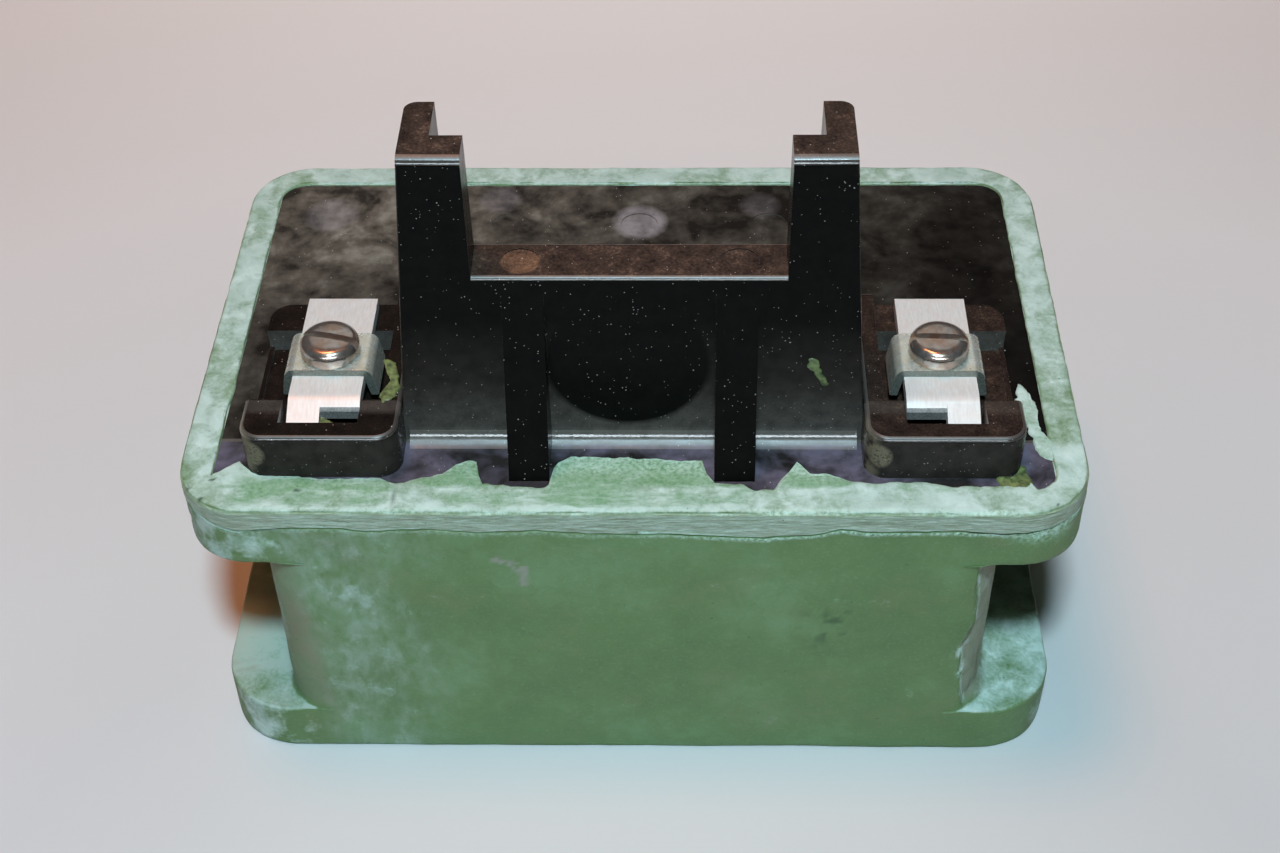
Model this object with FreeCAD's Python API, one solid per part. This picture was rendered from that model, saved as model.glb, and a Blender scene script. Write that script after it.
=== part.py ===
"""Magnet coil assembly of a large contactor: a wound coil cast in green epoxy, with a black
moulded terminal board on top that carries two screw terminals and two guide arms.

Millimetres. +X runs along the long side, +Y from the front (terminal side) to the back, +Z up.
The origin is the centre of the underside. Each sub-part goes to parts/NODE.step.
"""
import FreeCAD, Part
import math
import os

Vector = FreeCAD.Vector

# ---- driving dimensions: the epoxy casting ----
width = 120.0                 # along X, over both flanges
depth = 75.0                  # along Y
upper_flange_corner = 9.5
lower_flange_corner = 10.5
waist_width = 99.6            # between the flanges the casting is narrower in X only
waist_corner = 6.5
lower_flange_top = 8.7
upper_flange_bottom = 39.4
parting_height = 45.9         # the poured top collar sits on the cast body here
collar_top = 49.7
collar_edge = 1.0             # rounding of the collar's top edge
tongue_half_x = 29.5          # resin laps over the board's front edge, deepest between the pads
tongue_back = -28.2
lap_half_x = 50.5
lap_back = -31.2

# ---- driving dimensions: the core window and the winding ----
window_x = 46.0
window_y = 22.8
window_corner = 0.8
tube_wall = 1.6
ground_insulation = 0.8
layer_wrap = 0.5
outer_tape = 0.8
corner_growth = 0.4           # how fast the corners round off as the layers build up
winding_builds = (6.0, 6.2, 6.9)      # radial thickness of the inner, middle and outer sections
washer_bottom = 3.0
washer_thickness = 1.5
winding_top = 39.5

# ---- driving dimensions: the terminal board ----
board_bottom = 44.0
board_top = 49.2
board_half_x = 55.2
board_front = -34.0
board_back = 32.9
board_corner = 3.6
wall_front = -23.5
wall_back = -16.4
wall_edge = 0.7
bridge_top = 77.1
cove_radius = 2.6
rib_center = 13.4
rib_width = 5.3
rib_foot_front = -31.3
rib_top = 76.0
arm_top = 95.0
arm_inner = 19.6
arm_outer_foot = 30.7
arm_outer_top = 27.2
arm_back = -11.7
arm_front_plate = 4.8         # thickness in Y at the top
arm_side_plate = 3.6          # thickness in X at the top
arm_side_inner_foot = 23.2
arm_back_round = 1.6
arm_front_round = 0.5
arm_crown = 1.4
mark_depth = 0.15             # ejector marks
bridge_mark = (13.7, -20.2, 2.5)      # x, y, radius; one each side
plate_mark_pitch = 19.5
plate_mark = (23.1, 2.8)      # y, radius; a row of three

# ---- driving dimensions: one terminal ----
terminal_x = 40.8             # screw axis, from the centre plane
terminal_y = -14.1
pad_inner = 30.3
pad_outer = 51.0
pad_front = -30.6
pad_back = -1.2
pad_top = 56.3
pad_corner = 3.0
pad_edge = 0.8
pad_lip = 0.6                 # thin rim along the recess's outer side
recess_inner = 32.9
recess_front = -23.3
recess_back = -6.8
recess_floor = 50.4
pocket_front = -27.7
pocket_width = 10.4
well_floor = 47.5
strip_width = 9.6
strip_thickness = 1.6
strip_seat = 53.9
strip_back = -1.8
strip_fold = -21.9
strip_lip = -23.4
tab_width = 4.3
tab_front = -27.4
tab_foot = 48.4
tab_knee = 52.3
boss_width = 8.8
boss_depth = 11.6
insert_radius = 3.4
insert_bottom = 45.6
insert_floor = 0.8
saddle_depth = 7.6
saddle_plate = 1.1
saddle_half_top = 5.9
saddle_half_foot = 6.5
saddle_foot = 52.1
saddle_bend = 1.0

# ---- driving dimensions: the number 8-32 pan head screw ----
screw_radius = 2.05
screw_length = 9.5
screw_point = 0.5
bore_clearance = 0.05
hole_clearance = 0.08
head_radius = 4.0
head_height = 2.8
head_crown = 1.1
slot_width = 1.1
slot_depth = 1.3
slot_turn = {"left": -13.0, "right": -3.0}     # degrees, how each slot lies when tight

# ---- driving dimensions: the coil leads ----
lead_radius = 0.9
sleeve_radius = 1.3
lead_x = 43.4
lead_y = -24.6
lead_top = 50.0
solder_half = 1.0
solder_bottom = 48.6

top_washer_top = winding_top + washer_thickness
strip_top = strip_seat + strip_thickness
saddle_top = strip_top + saddle_plate
tube_half_x = window_x / 2 + tube_wall
tube_half_y = window_y / 2 + tube_wall


def box(x0, x1, y0, y1, z0, z1):
    return Part.makeBox(x1 - x0, y1 - y0, z1 - z0, Vector(x0, y0, z0))


def prism(points, direction):
    """Extrude a closed polygon of Vectors."""
    return Part.Face(Part.makePolygon(points + [points[0]])).extrude(direction)


def fillet_edges(shape, radius, keep):
    """Round the edges of shape for which keep(edge) is true."""
    return shape.makeFillet(radius, [edge for edge in shape.Edges if keep(edge)])


def is_vertical(edge):
    first, last = edge.Vertexes[0].Point, edge.Vertexes[-1].Point
    return abs(first.x - last.x) < 0.01 and abs(first.y - last.y) < 0.01


def rounded_block(x0, x1, y0, y1, z0, z1, radius):
    return fillet_edges(box(x0, x1, y0, y1, z0, z1), radius, is_vertical)


def centred_block(size_x, size_y, radius, z0, z1):
    return rounded_block(-size_x / 2, size_x / 2, -size_y / 2, size_y / 2, z0, z1, radius)


def cylinder(x, y, z0, z1, radius):
    return Part.makeCylinder(radius, z1 - z0, Vector(x, y, z0))


def mirrored(shape):
    """The same shape on the other side of the centre plane X = 0."""
    return shape.mirror(Vector(0, 0, 0), Vector(1, 0, 0))


def on_side(side, shape):
    return shape if side == "right" else mirrored(shape)


def around_tube(offset, z0, z1):
    """A block that stands out from the core tube by offset on all four sides."""
    radius = window_corner + tube_wall + corner_growth * offset
    return centred_block(2 * (tube_half_x + offset), 2 * (tube_half_y + offset), radius, z0, z1)


def sleeve_around_tube(inner, outer, z0, z1):
    hole = around_tube(inner, z0, z1)
    return around_tube(outer, z0, z1).cut(hole)


def save(name, shape):
    shape = shape.removeSplitter()
    shape.exportStep(f"parts/{name}.step")
    print(f"{name}: valid {shape.isValid()}, solids {len(shape.Solids)}, mm3 {shape.Volume:.1f}")


# ---- the coil inside the casting ----

def coil_layers():
    """Name and radial thickness of each layer, from the core tube outwards."""
    inner, middle, outer = winding_builds
    return [("ground_insulation", ground_insulation), ("winding_inner", inner),
            ("layer_wrap_inner", layer_wrap), ("winding_middle", middle),
            ("layer_wrap_outer", layer_wrap), ("winding_outer", outer),
            ("outer_tape_wrap", outer_tape)]


coil_build = sum(thickness for name, thickness in coil_layers())


def save_coil():
    offset = 0.0
    for name, thickness in coil_layers():
        layer = sleeve_around_tube(offset, offset + thickness, washer_bottom + washer_thickness, winding_top)
        save(name, layer)
        offset += thickness


def washer(z0):
    return sleeve_around_tube(0.0, coil_build, z0, z0 + washer_thickness)


def lead(side, radius, z1):
    return on_side(side, cylinder(lead_x, lead_y, winding_top, z1, radius))


def core_tube():
    bore = centred_block(window_x, window_y, window_corner, 0, board_bottom)
    return around_tube(0.0, 0, board_bottom).cut(bore)


# ---- the terminal board, one moulding ----

def board_plate():
    plate = rounded_block(-board_half_x, board_half_x, board_front, board_back,
                          board_bottom, board_top, board_corner)
    return plate.cut(centred_block(window_x, window_y, window_corner, board_bottom, board_top))


def cove(x0, x1):
    """Concave fillet where the front of the wall meets the plate."""
    block = box(x0, x1, wall_front - cove_radius, wall_front, board_top, board_top + cove_radius)
    scoop = Part.makeCylinder(cove_radius, x1 - x0,
                              Vector(x0, wall_front - cove_radius, board_top + cove_radius), Vector(1, 0, 0))
    return block.cut(scoop)


def bridge_wall():
    wall = box(-arm_inner - 1, arm_inner + 1, wall_front, wall_back, board_top, bridge_top)
    return fillet_edges(wall, wall_edge, lambda edge: abs(edge.BoundBox.ZMin - bridge_top) < 0.01
                        and edge.BoundBox.YLength < 0.01)


def rib():
    """Triangular gusset between the plate and the wall."""
    x0 = rib_center - rib_width / 2
    triangle = [Vector(x0, rib_foot_front, board_top), Vector(x0, wall_front + 0.5, board_top),
                Vector(x0, wall_front + 0.5, rib_top)]
    return prism(triangle, Vector(rib_width, 0, 0))


def arm_section(z, outer, side_inner, plate_back):
    """The L outline of an arm at height z."""
    corners = [(arm_inner, wall_front), (outer, wall_front), (outer, arm_back),
               (side_inner, arm_back), (side_inner, plate_back), (arm_inner, plate_back)]
    return Part.makePolygon([Vector(x, y, z) for x, y in corners + [corners[0]]])


def arm():
    """Guide arm with an L section that tapers upwards on its outer side."""
    foot = arm_section(board_top, arm_outer_foot, arm_side_inner_foot, wall_back)
    top = arm_section(arm_top, arm_outer_top, arm_outer_top - arm_side_plate, wall_front + arm_front_plate)
    column = Part.makeLoft([foot, top], True, True)

    def is_outer(edge):
        bounds = edge.BoundBox
        return bounds.ZLength > (arm_top - board_top) / 2 and bounds.XMax > arm_outer_foot - 0.1

    column = fillet_edges(column, arm_back_round,
                          lambda edge: is_outer(edge) and edge.BoundBox.YMin > arm_back - 0.1)
    column = fillet_edges(column, arm_front_round,
                          lambda edge: is_outer(edge) and edge.BoundBox.YMax < wall_front + 0.1)
    nose_y = wall_front + arm_crown
    nose_z = arm_top - arm_crown
    corner = box(arm_inner, arm_outer_foot, wall_front - 1, nose_y, nose_z, arm_top + 1)
    nose = Part.makeCylinder(arm_crown, arm_outer_foot - arm_inner + 2, Vector(arm_inner - 1, nose_y, nose_z),
                             Vector(1, 0, 0))
    return column.cut(corner.cut(nose))


def terminal_pad():
    """Raised U-shaped pad with a lead pocket, a recess for the saddle and a boss for the insert."""
    pad = fillet_edges(box(pad_inner, pad_outer, pad_front, pad_back, board_top, pad_top), pad_corner,
                       lambda edge: is_vertical(edge) and (edge.BoundBox.XMin > pad_outer - 0.1
                                                           or edge.BoundBox.YMax < pad_front + 0.1))
    pad = fillet_edges(pad, pad_edge, lambda edge: edge.BoundBox.ZMin > pad_top - 0.01
                       and edge.BoundBox.YMax < pad_front + pad_corner + 0.1)
    recess = box(recess_inner, pad_outer - pad_lip, recess_front, recess_back, recess_floor, pad_top)
    outside = box(recess_inner, pad_outer + 1, recess_front, recess_back, recess_floor + pad_lip, pad_top)
    shelf = box(recess_inner, pad_outer + 1, recess_back, pad_back + 1, strip_seat, pad_top)
    pad = pad.cut(recess.fuse(outside).fuse(shelf))
    boss = box(terminal_x - boss_width / 2, terminal_x + boss_width / 2, terminal_y - boss_depth / 2,
               terminal_y + boss_depth / 2, recess_floor, strip_seat)
    return pad.fuse(boss)


def pocket():
    """Opening through the front bar of a pad, with the well that the lead comes up."""
    half = pocket_width / 2
    return box(terminal_x - half, terminal_x + half, pocket_front, recess_front, well_floor, pad_top + 1)


def ejector_marks():
    """Shallow round marks on the bridge and the plate."""
    x, y, radius = bridge_mark
    marks = [cylinder(side * x, y, bridge_top - mark_depth, bridge_top + 1, radius) for side in (-1, 1)]
    y, radius = plate_mark
    for step in (-1, 0, 1):
        marks.append(cylinder(step * plate_mark_pitch, y, board_top - mark_depth, board_top + 1, radius))
    return marks


def terminal_board():
    added = [bridge_wall(), cove(-arm_outer_foot + 1, arm_outer_foot - 1)]
    for shape in (rib(), arm(), terminal_pad()):
        added += [shape, mirrored(shape)]
    board = board_plate().multiFuse(added)
    for side in ("left", "right"):
        board = board.cut(on_side(side, pocket()))
        board = board.cut(on_side(side, cylinder(terminal_x, terminal_y, insert_bottom, strip_seat, insert_radius)))
        board = board.cut(on_side(side, cylinder(lead_x, lead_y, board_bottom, well_floor, sleeve_radius)))
    return board.cut(Part.makeCompound(ejector_marks()))


# ---- the epoxy casting ----

def encapsulation_body():
    lower = centred_block(width, depth, lower_flange_corner, 0, lower_flange_top)
    waist = centred_block(waist_width, depth, waist_corner, lower_flange_top, upper_flange_bottom)
    upper = centred_block(width, depth, upper_flange_corner, upper_flange_bottom, parting_height)
    body = lower.fuse(waist).fuse(upper)
    cavity = around_tube(coil_build, washer_bottom, top_washer_top)
    seat = rounded_block(-board_half_x, board_half_x, board_front, board_back,
                         board_bottom, collar_top, board_corner)
    body = body.cut(cavity.fuse(around_tube(0.0, 0, board_bottom)).fuse(seat))
    for side in ("left", "right"):
        body = body.cut(on_side(side, cylinder(lead_x, lead_y, winding_top, board_bottom, sleeve_radius)))
    return body


def encapsulation_collar(board):
    """Rim round the terminal board, with a thin tongue of resin lapping over the board's front edge."""
    ring = centred_block(width, depth, upper_flange_corner, parting_height, collar_top)
    ring = fillet_edges(ring, collar_edge, lambda edge: edge.BoundBox.ZMin > collar_top - 0.01)
    ring = ring.cut(rounded_block(-board_half_x, board_half_x, board_front, board_back,
                                  parting_height, collar_top, board_corner))
    tongue = box(-tongue_half_x, tongue_half_x, board_front, tongue_back, board_top, collar_top)
    lap = box(-lap_half_x, lap_half_x, board_front, lap_back, board_top, collar_top)
    return ring.fuse(tongue.fuse(lap)).cut(board)


# ---- one screw terminal, modelled on the right ----

def threaded_insert():
    blank = cylinder(terminal_x, terminal_y, insert_bottom, strip_seat, insert_radius)
    return blank.cut(cylinder(terminal_x, terminal_y, insert_bottom + insert_floor, strip_seat,
                              screw_radius + bore_clearance))


def strip_profile(x, front):
    """Side outline of the strip: flat, then sloping down to the given front."""
    fall = (strip_top - tab_knee) / (strip_fold - tab_front)
    drop = (strip_fold - front) * fall
    return [Vector(x, strip_back, strip_seat), Vector(x, strip_back, strip_top),
            Vector(x, strip_fold, strip_top), Vector(x, front, strip_top - drop),
            Vector(x, front + 0.7, strip_seat - drop - 0.1), Vector(x, strip_fold + 0.4, strip_seat)]


def terminal_strip():
    """Flat strip with a narrow tab bent down into the pocket on its outer half."""
    inner_edge = terminal_x - strip_width / 2
    flat = prism(strip_profile(inner_edge, strip_lip), Vector(strip_width, 0, 0))
    knee_back = tab_front + strip_thickness
    tab_inner = terminal_x + strip_width / 2 - tab_width
    tab_outline = [(strip_fold + 1, strip_top), (strip_fold, strip_top), (tab_front, tab_knee),
                   (tab_front, tab_foot), (knee_back, tab_foot), (knee_back, tab_knee - 0.8),
                   (strip_fold + 0.4, strip_seat), (strip_fold + 1, strip_seat)]
    tab = prism([Vector(tab_inner, y, z) for y, z in tab_outline], Vector(tab_width, 0, 0))
    strip = flat.fuse(tab).removeSplitter()
    return strip.cut(cylinder(terminal_x, terminal_y, strip_seat - 1, strip_top + 1,
                              screw_radius + hole_clearance))


def saddle_clamp():
    """Bent plate whose two legs splay down beside the strip."""
    y0 = terminal_y - saddle_depth / 2
    outline = [(-saddle_half_foot, saddle_foot), (-saddle_half_top, saddle_top), (saddle_half_top, saddle_top),
               (saddle_half_foot, saddle_foot), (saddle_half_foot - saddle_plate, saddle_foot),
               (saddle_half_top - saddle_plate, strip_top), (-saddle_half_top + saddle_plate, strip_top),
               (-saddle_half_foot + saddle_plate, saddle_foot)]
    plate = prism([Vector(terminal_x + x, y0, z) for x, z in outline], Vector(0, saddle_depth, 0))
    plate = fillet_edges(plate, saddle_bend, lambda edge: edge.BoundBox.ZMin > saddle_top - 0.01
                         and edge.BoundBox.XLength < 0.01)
    return plate.cut(cylinder(terminal_x, terminal_y, saddle_foot, saddle_top + 1,
                              screw_radius + hole_clearance))


def terminal_screw(side):
    """Slotted pan head screw, its slot turned as it lies when tight."""
    shank = cylinder(0, 0, saddle_top - screw_length, saddle_top, screw_radius)
    tip = [edge for edge in shank.Edges if edge.BoundBox.ZMax < saddle_top - screw_length + 0.1]
    shank = shank.makeChamfer(screw_point, tip)
    rim = cylinder(0, 0, saddle_top, saddle_top + head_height, head_radius)
    head = fillet_edges(rim, head_crown, lambda edge: edge.BoundBox.ZMin > saddle_top + head_height - 0.01)
    screw = shank.fuse(head)
    slot = box(-head_radius - 1, head_radius + 1, -slot_width / 2, slot_width / 2,
               saddle_top + head_height - slot_depth, saddle_top + head_height + 1)
    slot.rotate(Vector(0, 0, 0), Vector(0, 0, 1), slot_turn[side])
    screw = screw.cut(slot)
    sign = 1 if side == "right" else -1
    screw.translate(Vector(sign * terminal_x, terminal_y, 0))
    return screw


def solder_joint(lead_wire):
    tab_back = tab_front + strip_thickness
    blob = box(lead_x - solder_half, lead_x + solder_half, tab_back, lead_y + solder_half,
               solder_bottom, lead_top)
    return blob.cut(lead_wire)


os.makedirs("parts", exist_ok=True)
board = terminal_board()
save("terminal_board", board)
save("encapsulation_body", encapsulation_body())
save("encapsulation_collar", encapsulation_collar(board))
save("core_tube", core_tube())
lead_holes = [lead(side, sleeve_radius, board_bottom) for side in ("left", "right")]
save("bottom_washer", washer(washer_bottom))
save("top_washer", washer(winding_top).cut(Part.makeCompound(lead_holes)))
save_coil()
for side, end in (("left", "start"), ("right", "finish")):
    wire = lead(side, lead_radius, lead_top)
    save(f"{end}_lead", wire)
    save(f"{end}_lead_sleeve", lead(side, sleeve_radius, well_floor).cut(wire))
    save(f"solder_joint_{side}", on_side(side, solder_joint(lead("right", lead_radius, lead_top))))
    save(f"threaded_insert_{side}", on_side(side, threaded_insert()))
    save(f"terminal_strip_{side}", on_side(side, terminal_strip()))
    save(f"saddle_clamp_{side}", on_side(side, saddle_clamp()))
    save(f"terminal_screw_{side}", terminal_screw(side))
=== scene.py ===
import math

import bmesh
import bpy
import numpy as np
from mathutils import Matrix, Vector, noise


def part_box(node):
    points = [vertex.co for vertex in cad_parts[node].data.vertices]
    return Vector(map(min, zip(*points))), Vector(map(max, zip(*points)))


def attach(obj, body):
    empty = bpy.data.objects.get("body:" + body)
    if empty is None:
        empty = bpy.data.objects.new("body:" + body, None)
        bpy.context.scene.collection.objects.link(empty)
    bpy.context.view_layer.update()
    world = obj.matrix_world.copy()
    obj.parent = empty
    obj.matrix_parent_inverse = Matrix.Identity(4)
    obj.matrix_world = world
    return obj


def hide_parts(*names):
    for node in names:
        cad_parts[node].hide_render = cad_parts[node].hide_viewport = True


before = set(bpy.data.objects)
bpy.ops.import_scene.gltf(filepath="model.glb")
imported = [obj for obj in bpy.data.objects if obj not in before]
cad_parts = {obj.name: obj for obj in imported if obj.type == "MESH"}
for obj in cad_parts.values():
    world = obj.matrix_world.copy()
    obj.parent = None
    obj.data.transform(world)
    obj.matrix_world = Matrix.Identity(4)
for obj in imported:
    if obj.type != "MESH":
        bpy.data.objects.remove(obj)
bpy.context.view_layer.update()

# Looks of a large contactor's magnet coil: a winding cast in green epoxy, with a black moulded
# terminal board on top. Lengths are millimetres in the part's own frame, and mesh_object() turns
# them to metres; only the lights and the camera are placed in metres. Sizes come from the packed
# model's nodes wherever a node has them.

MM = 0.001


def node_box(node):
    """Lowest and highest corner of a CAD node, in millimetres."""
    low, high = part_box(node)
    return np.array(low) / MM, np.array(high) / MM


collar_low, collar_high = node_box("encapsulation_collar")
board_low, board_high = node_box("terminal_board")
tube_high = node_box("core_tube")[1]
tape_high = node_box("outer_tape_wrap")[1]
winding_bottom = node_box("bottom_washer")[0][2]
winding_top = node_box("top_washer")[1][2]

half_x, half_y, collar_top = collar_high
plate_top = 49.2                      # top face of the board's plate
pad_top = 56.3                        # where the terminals stand on it
wall_front, bridge_top = -23.5, 77.1  # the wall between the guide arms
cove_top = 51.8                       # top of the hollow curve at the wall's foot
terminal_x, terminal_y = 40.8, -14.1  # the screws' axes, left and right
upper_corner, lower_corner = 9.5, 10.5
waist_half, waist_corner = 49.8, 6.5
lower_top, upper_bottom = 8.7, 39.4   # the waist lies between these heights
board_corner = 3.6
board_half = board_high[0]
parting = collar_low[2]               # mean height of the joint between casting and collar


# ---- numbers and noise ----

def smooth(low, high, value):
    """0 below low, 1 above high, and an even S curve between; low may be the larger."""
    t = np.clip((np.asarray(value, float) - low) / (high - low), 0, 1)
    return t * t * (3 - 2 * t)


def clouds(points, size, octaves=4, seed=0, stretch=(1, 1, 1)):
    """Smooth noise, about -1 to 1, with features about size across, longer where stretch is more."""
    shift = Vector((17.3, 9.1, 5.7)) * (seed + 1)
    scale = 1 / (size * np.array(stretch, float))
    return np.array([noise.fractal(Vector(p) + shift, 1, 2, octaves)
                     for p in np.asarray(points, float) * scale])


def spot(points, centre, size):
    """1 at centre, falling to 0 about size away; size may differ along each axis."""
    away = (points - centre) / size
    return np.exp(-2 * (away ** 2).sum(axis=1))


def streak(points, start, end, width):
    """Like spot, but along the line from start to end."""
    start, line = np.array(start), np.array(end) - start
    along = np.clip((points - start) @ line / (line @ line), 0, 1)
    away = points - start - along[:, None] * line
    return np.exp(-2 * (away ** 2).sum(axis=1) / width ** 2)


# ---- meshes ----

def mesh_object(name, points, faces):
    mesh = bpy.data.meshes.new(name)
    mesh.from_pydata([tuple(p * MM) for p in np.asarray(points, float)], [], faces)
    obj = bpy.data.objects.new(name, mesh)
    bpy.context.scene.collection.objects.link(obj)
    return obj


def apply_modifiers(obj):
    graph = bpy.context.evaluated_depsgraph_get()
    mesh = bpy.data.meshes.new_from_object(obj.evaluated_get(graph))
    obj.modifiers.clear()
    obj.data = mesh


def piece(obj, materials, replaced=(), body="coil", sharp=40, flats=False):
    """Finish a piece: materials, smooth shading with crisp edges, and its place in the frame.

    With flats, broad faces keep their own direction right up to their rounded edges."""
    mesh = obj.data
    for material in materials:
        mesh.materials.append(material)
    mesh.shade_smooth()
    mesh.set_sharp_from_angle(angle=math.radians(sharp))
    if flats:
        obj.modifiers.new("weights", "WEIGHTED_NORMAL").keep_sharp = True
        apply_modifiers(obj)
    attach(obj, body)
    if replaced:
        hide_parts(*replaced)


def edit(obj, change):
    """Run change(bmesh) on a piece's mesh, then turn its faces outwards."""
    mesh = bmesh.new()
    mesh.from_mesh(obj.data)
    change(mesh)
    bmesh.ops.recalc_face_normals(mesh, faces=mesh.faces)
    mesh.to_mesh(obj.data)
    mesh.free()


def weld(mesh):
    bmesh.ops.remove_doubles(mesh, verts=mesh.verts, dist=1e-6)


def round_edges(obj, width, slope_material=0):
    """Round every sharp edge; the new faces take material 1, and faces that slope slope_material."""
    flat_turn, sharp_turn = math.radians(0.5), math.radians(30)
    steepest, gentlest = 0.32, 0.96     # the upward part of a sloping face's normal

    def change(mesh):
        weld(mesh)
        bmesh.ops.dissolve_limit(mesh, angle_limit=flat_turn, verts=mesh.verts, edges=mesh.edges)
        for face in mesh.faces:
            if steepest < face.normal.z < gentlest:
                face.material_index = slope_material
        turned = [edge for edge in mesh.edges
                  if len(edge.link_faces) == 2 and edge.calc_face_angle() > sharp_turn]
        made = bmesh.ops.bevel(mesh, geom=turned, offset=width * MM, segments=2, profile=0.6,
                               affect="EDGES", clamp_overlap=True)
        for face in made["faces"]:
            face.material_index = 1

    edit(obj, change)


def cut(obj, cutter, operation="DIFFERENCE"):
    """Cut another object out of obj, or join it on, and delete it."""
    modifier = obj.modifiers.new("cut", "BOOLEAN")
    modifier.operation = operation
    modifier.solver = "EXACT"
    modifier.object = cutter
    apply_modifiers(obj)
    bpy.data.objects.remove(cutter)


def loft(name, rings, closed=False):
    """A solid through matching rings, which join up again if closed and otherwise end in caps."""
    rows, count = len(rings), len(rings[0])
    faces = []
    for row in range(rows if closed else rows - 1):
        here, there = row * count, (row + 1) % rows * count
        for i in range(count):
            j = (i + 1) % count
            faces.append((here + i, here + j, there + j, there + i))
    if not closed:
        faces += [tuple(range(count))[::-1], tuple(range((rows - 1) * count, rows * count))]
    obj = mesh_object(name, np.concatenate(rings), faces)
    edit(obj, weld)
    return obj


def places_and_normals(obj):
    """Where each vertex is, in millimetres, and which way it faces."""
    places, facing = np.empty((2, len(obj.data.vertices) * 3))
    obj.data.vertices.foreach_get("co", places)
    obj.data.vertex_normals.foreach_get("vector", facing)
    return places.reshape(-1, 3) / MM, facing.reshape(-1, 3)


def set_coordinates(obj, points):
    obj.data.vertices.foreach_set("co", (points * MM).ravel())
    obj.data.update()


def set_masks(obj, **given):
    """Store the masks that the epoxy material reads, each 0 where it isn't given."""
    for name in ("chalk", "film", "wet", "band", "lip", "grime", "scuff", "dark"):
        values = np.broadcast_to(given.get(name, 0), len(obj.data.vertices))
        mask = obj.data.attributes.new(name, "FLOAT", "POINT")
        mask.data.foreach_set("value", np.clip(values, 0, 1).astype(np.float32))


# ---- outlines: matching points for every size of rounded rectangle ----

FRONT_STEPS, CORNER_STEPS, SIDE_STEPS = 160, 76, 50
FRONT_HALF, SIDE_HALF = waist_half - waist_corner, 15  # the runs that all the outlines share


def quarter(reach_x, reach_y, corner):
    """From the front run round the front right corner to the side run, evenly spaced."""
    turn = np.linspace(-math.pi / 2, 0, 25)
    x = np.concatenate([[min(FRONT_HALF, reach_x - corner)], reach_x - corner + corner * np.cos(turn),
                        [reach_x]])
    y = np.concatenate([[-reach_y], corner - reach_y + corner * np.sin(turn),
                        [-min(SIDE_HALF, reach_y - corner)]])
    along = np.concatenate([[0], np.cumsum(np.hypot(np.diff(x), np.diff(y)))])
    even = np.linspace(0, along[-1], CORNER_STEPS + 1)
    return np.column_stack([np.interp(even, along, x), np.interp(even, along, y)])


def outline(reach_x, reach_y, corner):
    bend = quarter(reach_x, reach_y, corner)
    side = np.linspace(bend[-1], bend[-1] * (1, -1), SIDE_STEPS + 1)
    back = np.linspace(bend[0] * (1, -1), -bend[0], FRONT_STEPS + 1)
    half = np.concatenate([bend[:-1], side[:-1], bend[::-1][:-1] * (1, -1), back[:-1]])
    return np.concatenate([half, -half])


def ring(shape, z):
    """An outline at a height, which may be one number or one per point."""
    return np.column_stack([shape, np.broadcast_to(z, len(shape))])


def blend_ring(first, second, t, z):
    return ring(first + (second - first) * t, z)


def flange(corner, inset=0):
    return outline(half_x - inset, half_y - inset, corner - inset)


def board_seat():
    """The board's own outline, which isn't centred from front to back."""
    reach = (board_high[1] - board_low[1]) / 2
    return outline(board_half, reach, board_corner) + (0, (board_high[1] + board_low[1]) / 2)


waist = outline(waist_half, half_y, waist_corner)


def ledge_edge(corner, inset):
    """A flange outline drawn in by inset, but only where the flange stands out from the waist."""
    full = flange(corner)
    stands_out = smooth(0, 1.5, half_y - np.abs(waist[:, 1]))[:, None]
    return full + (flange(corner, inset) - full) * stands_out


tube = outline(tube_high[0], tube_high[1], 2.4)
winding = outline(tape_high[0], tape_high[1], 8)

# The joint between the cast body and the poured collar wanders up and down along the front.
crack_x = [-57, -54, -51, -47, -39, -34, -30, -26, -20, -12, -5, 5, 10, 17, 21, 24, 27, 31, 36, 42,
           48, 56]
crack_z = [47, 46.2, 45.9, 46.4, 46.6, 45.9, 46.3, 46.4, 45.8, 46.2, 45.6, 45.7, 45.3, 45, 45.4, 45.6,
           46.7, 46.1, 46.2, 46.3, 45.8, 46.4]


def crack_height(shape):
    """Height of the joint at each point of an outline."""
    flat = ring(shape, 0)
    wander = 0.35 * clouds(flat, 9, 3, seed=3) + 0.16 * clouds(flat, 1.8, 3, seed=4)
    front = np.interp(shape[:, 0], crack_x, crack_z) + 0.12 * clouds(flat, 1.5, 3, seed=5)
    on_front = smooth(-half_y + 9, -half_y + 5, shape[:, 1])
    return on_front * front + (1 - on_front) * (parting + 0.1 + wander)


# ---- shader building ----

def srgb(red, green, blue):
    """A colour given as 0 to 255 on screen, as the shader's linear values."""
    values = [c / 255 for c in (red, green, blue)]
    return tuple(c / 12.92 if c <= 0.04045 else ((c + 0.055) / 1.055) ** 2.4 for c in values) + (1,)


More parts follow.
